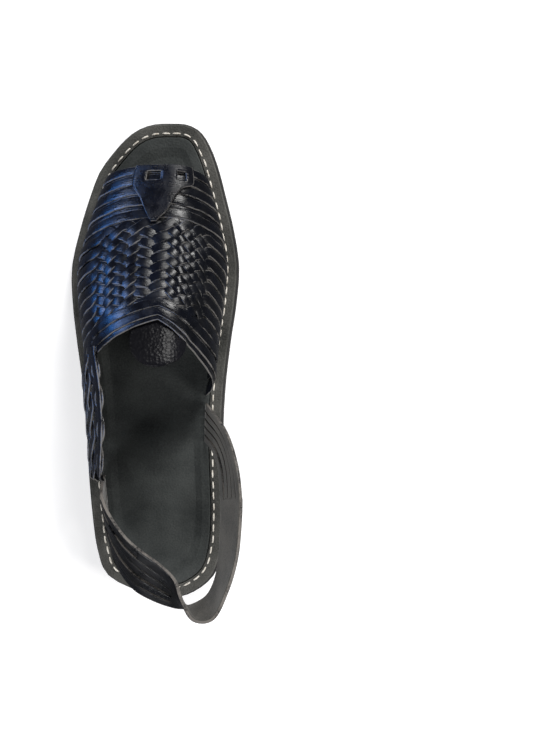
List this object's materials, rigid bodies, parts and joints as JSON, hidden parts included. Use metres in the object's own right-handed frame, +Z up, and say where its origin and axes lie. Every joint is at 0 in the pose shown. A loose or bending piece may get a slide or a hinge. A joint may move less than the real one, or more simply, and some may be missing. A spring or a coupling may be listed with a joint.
{
  "type": "huarache sandal",
  "caption": "Left open-toe huarache sandal with a woven leather vamp, leather footbed, slack heel sling and rubber outsole.",
  "frame": {"origin": "middle of the heel's resting face on the floor, below the footbed", "axes": "+Y to the toe, +X to the inner side of the left foot, +Z up"},
  "size_m": [0.108, 0.2946, 0.0876],
  "materials": {
    "sole_rubber": "matt black rubber",
    "border_leather": "matt dark grey grained leather",
    "footbed_leather": "matt worn black leather",
    "strip_leather": "glossy black leather",
    "tab_leather": "pebbled semi-gloss black leather",
    "strap_leather": "black leather, dark grey flesh side"
  },
  "bodies": {
    "root": {"outsole": "sole_rubber", "midsole": "border_leather", "insole": "footbed_leather", "upper": "strip_leather", "toe_piece": "strip_leather", "instep_tab": "tab_leather", "heel_strap": "strap_leather"}
  },
  "joints": []
}
